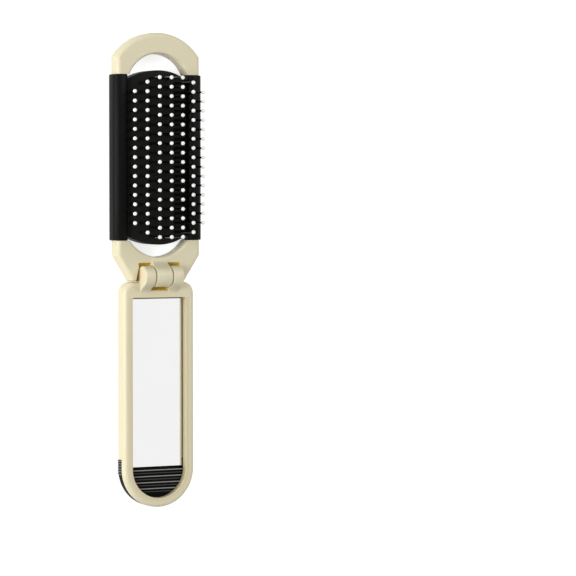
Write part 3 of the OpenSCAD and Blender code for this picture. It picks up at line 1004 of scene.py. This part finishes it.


# Painted highlights: pale lines on the crests of the tall thumb ribs, dim ones on the low ribs,
# and pale lines on the band's side ribs stand in for light caught on their crests.
low_crest = thumb_crest - thumb_low
thumb_rubber = crest_highlights(grip_rubber("thumb_rubber"), "Z", (
    (low_crest - 0.08 * mm, low_crest - 0.02 * mm, 0.06),
    (low_crest, low_crest + 0.02 * mm, 0.003),
    (thumb_crest - 0.11 * mm, thumb_crest - 0.02 * mm, 0.27)))
band_rubber = crest_highlights(grip_rubber("band_rubber"), "X", (
    (band_half + 0.12 * mm, band_half + 0.19 * mm, 0.27),))
thumb_ribs = thumb_rib_tree().grow(
    "end_grip_ribs", Count=thumb_count, Pitch=thumb_pitch, First=thumb_first,
    Rib_Radius=thumb_rib_r, Round_Radius=thumb_r, Top=thumb_top, Centre=end_cy,
    Crest=thumb_crest, Low_By=thumb_low, End_Gap=thumb_end_gap, Material=thumb_rubber)
side_ribs = side_rib_tree()
grip_parts = [smooth(grip), smooth(thumb_ribs, 50)]
for name, side in (("left", -1), ("right", 1)):
    grip_parts.append(smooth(side_ribs.grow(
        f"end_grip_ribs_{name}", Count=side_rib_count, Pitch=side_rib_pitch,
        Rib_Radius=side_rib_r, Side=side * (band_half - 0.1 * mm),
        First=band_top - 0.5 * mm, Low=1.6 * mm, High=band_t - 0.2 * mm,
        Material=band_rubber), 50))
grip.data.materials.append(grip_rubber("grip_rubber"))
for part in grip_parts:
    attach(part, "handle")
    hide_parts("end_grip")

# ---------------------------------------------------------------------------------------
# Hinge pin: a steel wire driven in from the right, flush with the outer knuckle there.

pin_lo, pin_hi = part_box("hinge_pin")
pin_circle = arc(hinge.y, hinge.z, pin_r, 0, 360, 32)[:-1]
pin_end_round = 0.15 * mm
pin = smooth(slab(
    "hinge_pin_wire", pin_circle, [], pin_lo.x, pin_hi.x, pin_end_round, pin_end_round,
    lying=True))
drawn_steel, t = new_material("drawn_steel")
t.shade({
    "Base Color": (0.55, 0.55, 0.54, 1), "Metallic": 1,
    "Roughness": t.ramp(t.noise(3000), 0, 1, 0.25, 0.45)})
pin.data.materials.append(drawn_steel)
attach(pin, "handle")
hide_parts("hinge_pin")

# ---------------------------------------------------------------------------------------
# Floor, light and camera: a white sheet, a low strip light with a soft one above it at the
# left, a soft one over the head at the right, and a long lens 25 degrees left of square.

bm = bmesh.new()
bmesh.ops.create_grid(bm, size=3, x_segments=1, y_segments=1)
floor = new_piece("floor", bm)
paper, t = new_material("paper")
t.tree.nodes.clear()


def shown(t):
    """1 for what the camera or a glossy or clear piece sees, 0 for light on the object."""
    rays = t.node("ShaderNodeLightPath").outputs
    seen = t.calc("MAXIMUM", rays["Is Camera Ray"], rays["Is Glossy Ray"])
    return t.calc("MAXIMUM", seen, rays["Is Transmission Ray"])


matt = t.node("ShaderNodeBsdfDiffuse", {"Color": (0.68, 0.68, 0.68, 1)})
glow = t.node("ShaderNodeEmission", {"Strength": t.calc("MULTIPLY", shown(t), 0.7)})
both = t.node("ShaderNodeAddShader", {0: matt.outputs[0], 1: glow.outputs[0]})
t.node("ShaderNodeOutputMaterial", {"Surface": both.outputs[0]})
floor.data.materials.append(paper)


def softbox(name, place, target, size, power):
    lamp = bpy.data.lights.new(name, "AREA")
    lamp.shape = "RECTANGLE"
    lamp.size, lamp.size_y = size
    lamp.energy = power
    holder = bpy.data.objects.new(name, lamp)
    holder.location = place
    holder.rotation_euler = (Vector(target) - Vector(place)).to_track_quat("-Z", "Y").to_euler()
    bpy.context.scene.collection.objects.link(holder)


softbox("side", (-1.2, 0.05, 0.095), (0, 0, 0.005), (0.5, 0.12), 6.4)
softbox("front_left", (-0.9, 0.05, 0.55), (0, 0, 0), (0.4, 0.4), 5.2)
softbox("top", (0.5, 0.55, 0.95), (0, 0.02, 0), (0.5, 0.5), 4.1)

world = bpy.data.worlds.new("studio")
world.use_nodes = True
t = Nodes(world.node_tree)
t.set(t.tree.nodes["Background"], {
    "Color": (1, 1, 1, 1), "Strength": t.ramp(shown(t), 0, 1, 0.5, 1.0)})
bpy.context.scene.world = world

yaw = radians(25)                # the camera stands this far to the left of square
distance = 1.2
picture_px, sensor = 576, 36     # width of the picture, and of the sensor in millimetres
px_per_m = 2490                  # scale at the brush
middle_px = picture_px / 2
brush_px, level_px = 159.3, 184  # where the brush's middle line and the camera's level fall
level_y = hinge.y + 37 * mm      # the camera's level along the brush
watch = Vector((0, level_y, face_z))
right = Vector((cos(yaw), 0, sin(yaw)))
eye = watch + distance * Vector((-sin(yaw), 0, cos(yaw)))
aim = watch + right * (middle_px - brush_px) / px_per_m
aim -= Vector((0, 1, 0)) * (middle_px - level_px) / px_per_m
lens = bpy.data.cameras.new("camera")
lens.sensor_width = sensor
lens.lens = px_per_m * distance * sensor / picture_px
camera = bpy.data.objects.new("camera", lens)
camera.location = eye
back_way = (eye - aim).normalized()
side_way = Vector((0, 1, 0)).cross(back_way).normalized()
up_way = back_way.cross(side_way)
camera.rotation_euler = Matrix((side_way, up_way, back_way)).transposed().to_euler()
bpy.context.scene.collection.objects.link(camera)
bpy.context.scene.camera = camera
bpy.context.scene.view_settings.view_transform = "Standard"
